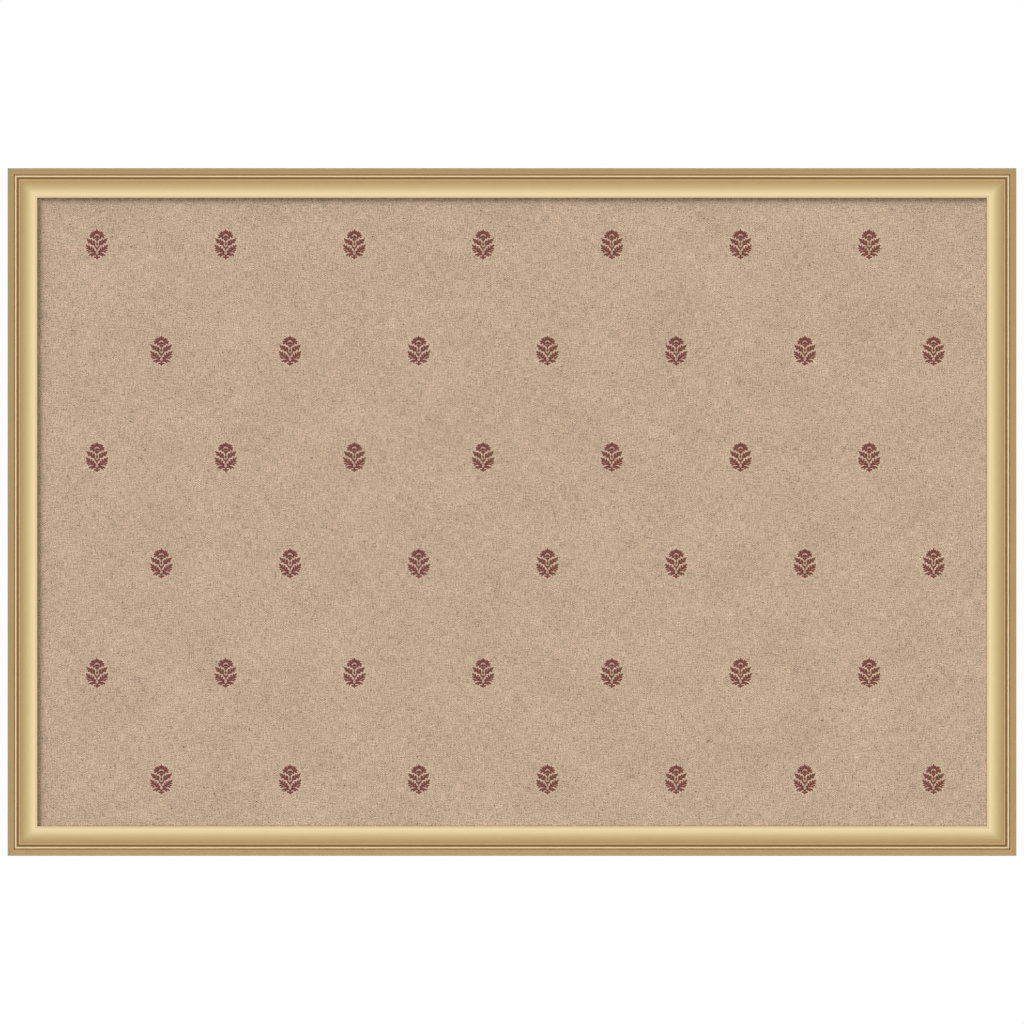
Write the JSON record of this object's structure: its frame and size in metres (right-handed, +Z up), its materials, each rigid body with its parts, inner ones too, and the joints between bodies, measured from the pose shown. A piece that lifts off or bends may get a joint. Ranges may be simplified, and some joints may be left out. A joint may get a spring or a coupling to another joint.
{
  "type": "framed fabric pin board",
  "caption": "Wall-hung pin board: mitred gold moulding round a linen-covered softboard, with a hardboard back held by turn buttons and strap hangers with D-rings.",
  "frame": {"origin": "middle of the board's back plane, on the rear face of the backing", "axes": "+X to the right seen from the front, +Y out of the back towards the wall, +Z up; the face looks along -Y"},
  "size_m": [0.9426, 0.0302, 0.6426],
  "materials": {
    "gold_moulding": "satin",
    "linen": "matte",
    "softboard": "matte",
    "hardboard": "matte",
    "zinc_steel": "satin",
    "bright_steel": "satin",
    "rubber": "matte"
  },
  "bodies": {
    "board": {"top_rail": "gold_moulding", "right_rail": "gold_moulding", "bottom_rail": "gold_moulding", "left_rail": "gold_moulding", "fabric_cover": "linen", "pin_core": "softboard", "back_panel": "hardboard", "button_screw_top_left": "zinc_steel", "button_screw_top_middle": "zinc_steel", "button_screw_top_right": "zinc_steel", "button_screw_bottom_left": "zinc_steel", "button_screw_bottom_middle": "zinc_steel", "button_screw_bottom_right": "zinc_steel", "button_screw_left_middle": "zinc_steel", "button_screw_right_middle": "zinc_steel", "hanger_screw_left_1": "zinc_steel", "hanger_screw_left_2": "zinc_steel", "hanger_screw_right_1": "zinc_steel", "hanger_screw_right_2": "zinc_steel", "staple_top_1": "zinc_steel", "staple_top_2": "zinc_steel", "staple_top_3": "zinc_steel", "staple_top_4": "zinc_steel", "staple_top_5": "zinc_steel", "staple_right_1": "zinc_steel", "staple_right_2": "zinc_steel", "staple_right_3": "zinc_steel", "staple_bottom_1": "zinc_steel", "staple_bottom_2": "zinc_steel", "staple_bottom_3": "zinc_steel", "staple_bottom_4": "zinc_steel", "staple_bottom_5": "zinc_steel", "staple_left_1": "zinc_steel", "staple_left_2": "zinc_steel", "staple_left_3": "zinc_steel", "corner_nail_top_left_outer": "zinc_steel", "corner_nail_top_left_inner": "zinc_steel", "corner_nail_top_right_outer": "zinc_steel", "corner_nail_top_right_inner": "zinc_steel", "corner_nail_bottom_right_outer": "zinc_steel", "corner_nail_bottom_right_inner": "zinc_steel", "corner_nail_bottom_left_outer": "zinc_steel", "corner_nail_bottom_left_inner": "zinc_steel", "hanger_strap_left": "bright_steel", "hanger_strap_right": "bright_steel", "bumper_left": "rubber", "bumper_right": "rubber"},
    "turn_button_top_left": {"turn_button_top_left": "bright_steel"},
    "turn_button_top_middle": {"turn_button_top_middle": "bright_steel"},
    "turn_button_top_right": {"turn_button_top_right": "bright_steel"},
    "turn_button_bottom_left": {"turn_button_bottom_left": "bright_steel"},
    "turn_button_bottom_middle": {"turn_button_bottom_middle": "bright_steel"},
    "turn_button_bottom_right": {"turn_button_bottom_right": "bright_steel"},
    "turn_button_left_middle": {"turn_button_left_middle": "bright_steel"},
    "turn_button_right_middle": {"turn_button_right_middle": "bright_steel"},
    "d_ring_left": {"d_ring_left": "bright_steel"},
    "d_ring_right": {"d_ring_right": "bright_steel"}
  },
  "joints": [
    {"name": "turn_button_top_left_turn", "type": "hinge", "parent": "board", "child": "turn_button_top_left", "pos_m": [-0.28278, 0.0009, 0.3109], "axis": [0, 1, 0], "continuous": true},
    {"name": "turn_button_top_middle_turn", "type": "hinge", "parent": "board", "child": "turn_button_top_middle", "pos_m": [0, 0.0009, 0.3109], "axis": [0, 1, 0], "continuous": true},
    {"name": "turn_button_top_right_turn", "type": "hinge", "parent": "board", "child": "turn_button_top_right", "pos_m": [0.28278, 0.0009, 0.3109], "axis": [0, 1, 0], "continuous": true},
    {"name": "turn_button_bottom_left_turn", "type": "hinge", "parent": "board", "child": "turn_button_bottom_left", "pos_m": [-0.28278, 0.0009, -0.3109], "axis": [0, 1, 0], "continuous": true},
    {"name": "turn_button_bottom_middle_turn", "type": "hinge", "parent": "board", "child": "turn_button_bottom_middle", "pos_m": [0, 0.0009, -0.3109], "axis": [0, 1, 0], "continuous": true},
    {"name": "turn_button_bottom_right_turn", "type": "hinge", "parent": "board", "child": "turn_button_bottom_right", "pos_m": [0.28278, 0.0009, -0.3109], "axis": [0, 1, 0], "continuous": true},
    {"name": "turn_button_left_middle_turn", "type": "hinge", "parent": "board", "child": "turn_button_left_middle", "pos_m": [-0.4609, 0.0009, 0], "axis": [0, 1, 0], "continuous": true},
    {"name": "turn_button_right_middle_turn", "type": "hinge", "parent": "board", "child": "turn_button_right_middle", "pos_m": [0.4609, 0.0009, 0], "axis": [0, 1, 0], "continuous": true},
    {"name": "d_ring_left_swing", "type": "hinge", "parent": "board", "child": "d_ring_left", "pos_m": [-0.4609, 0.0023, 0.14137], "axis": [-1, 0, 0], "range_deg": [0, 175]},
    {"name": "d_ring_right_swing", "type": "hinge", "parent": "board", "child": "d_ring_right", "pos_m": [0.4609, 0.0023, 0.14137], "axis": [-1, 0, 0], "range_deg": [0, 175]}
  ]
}
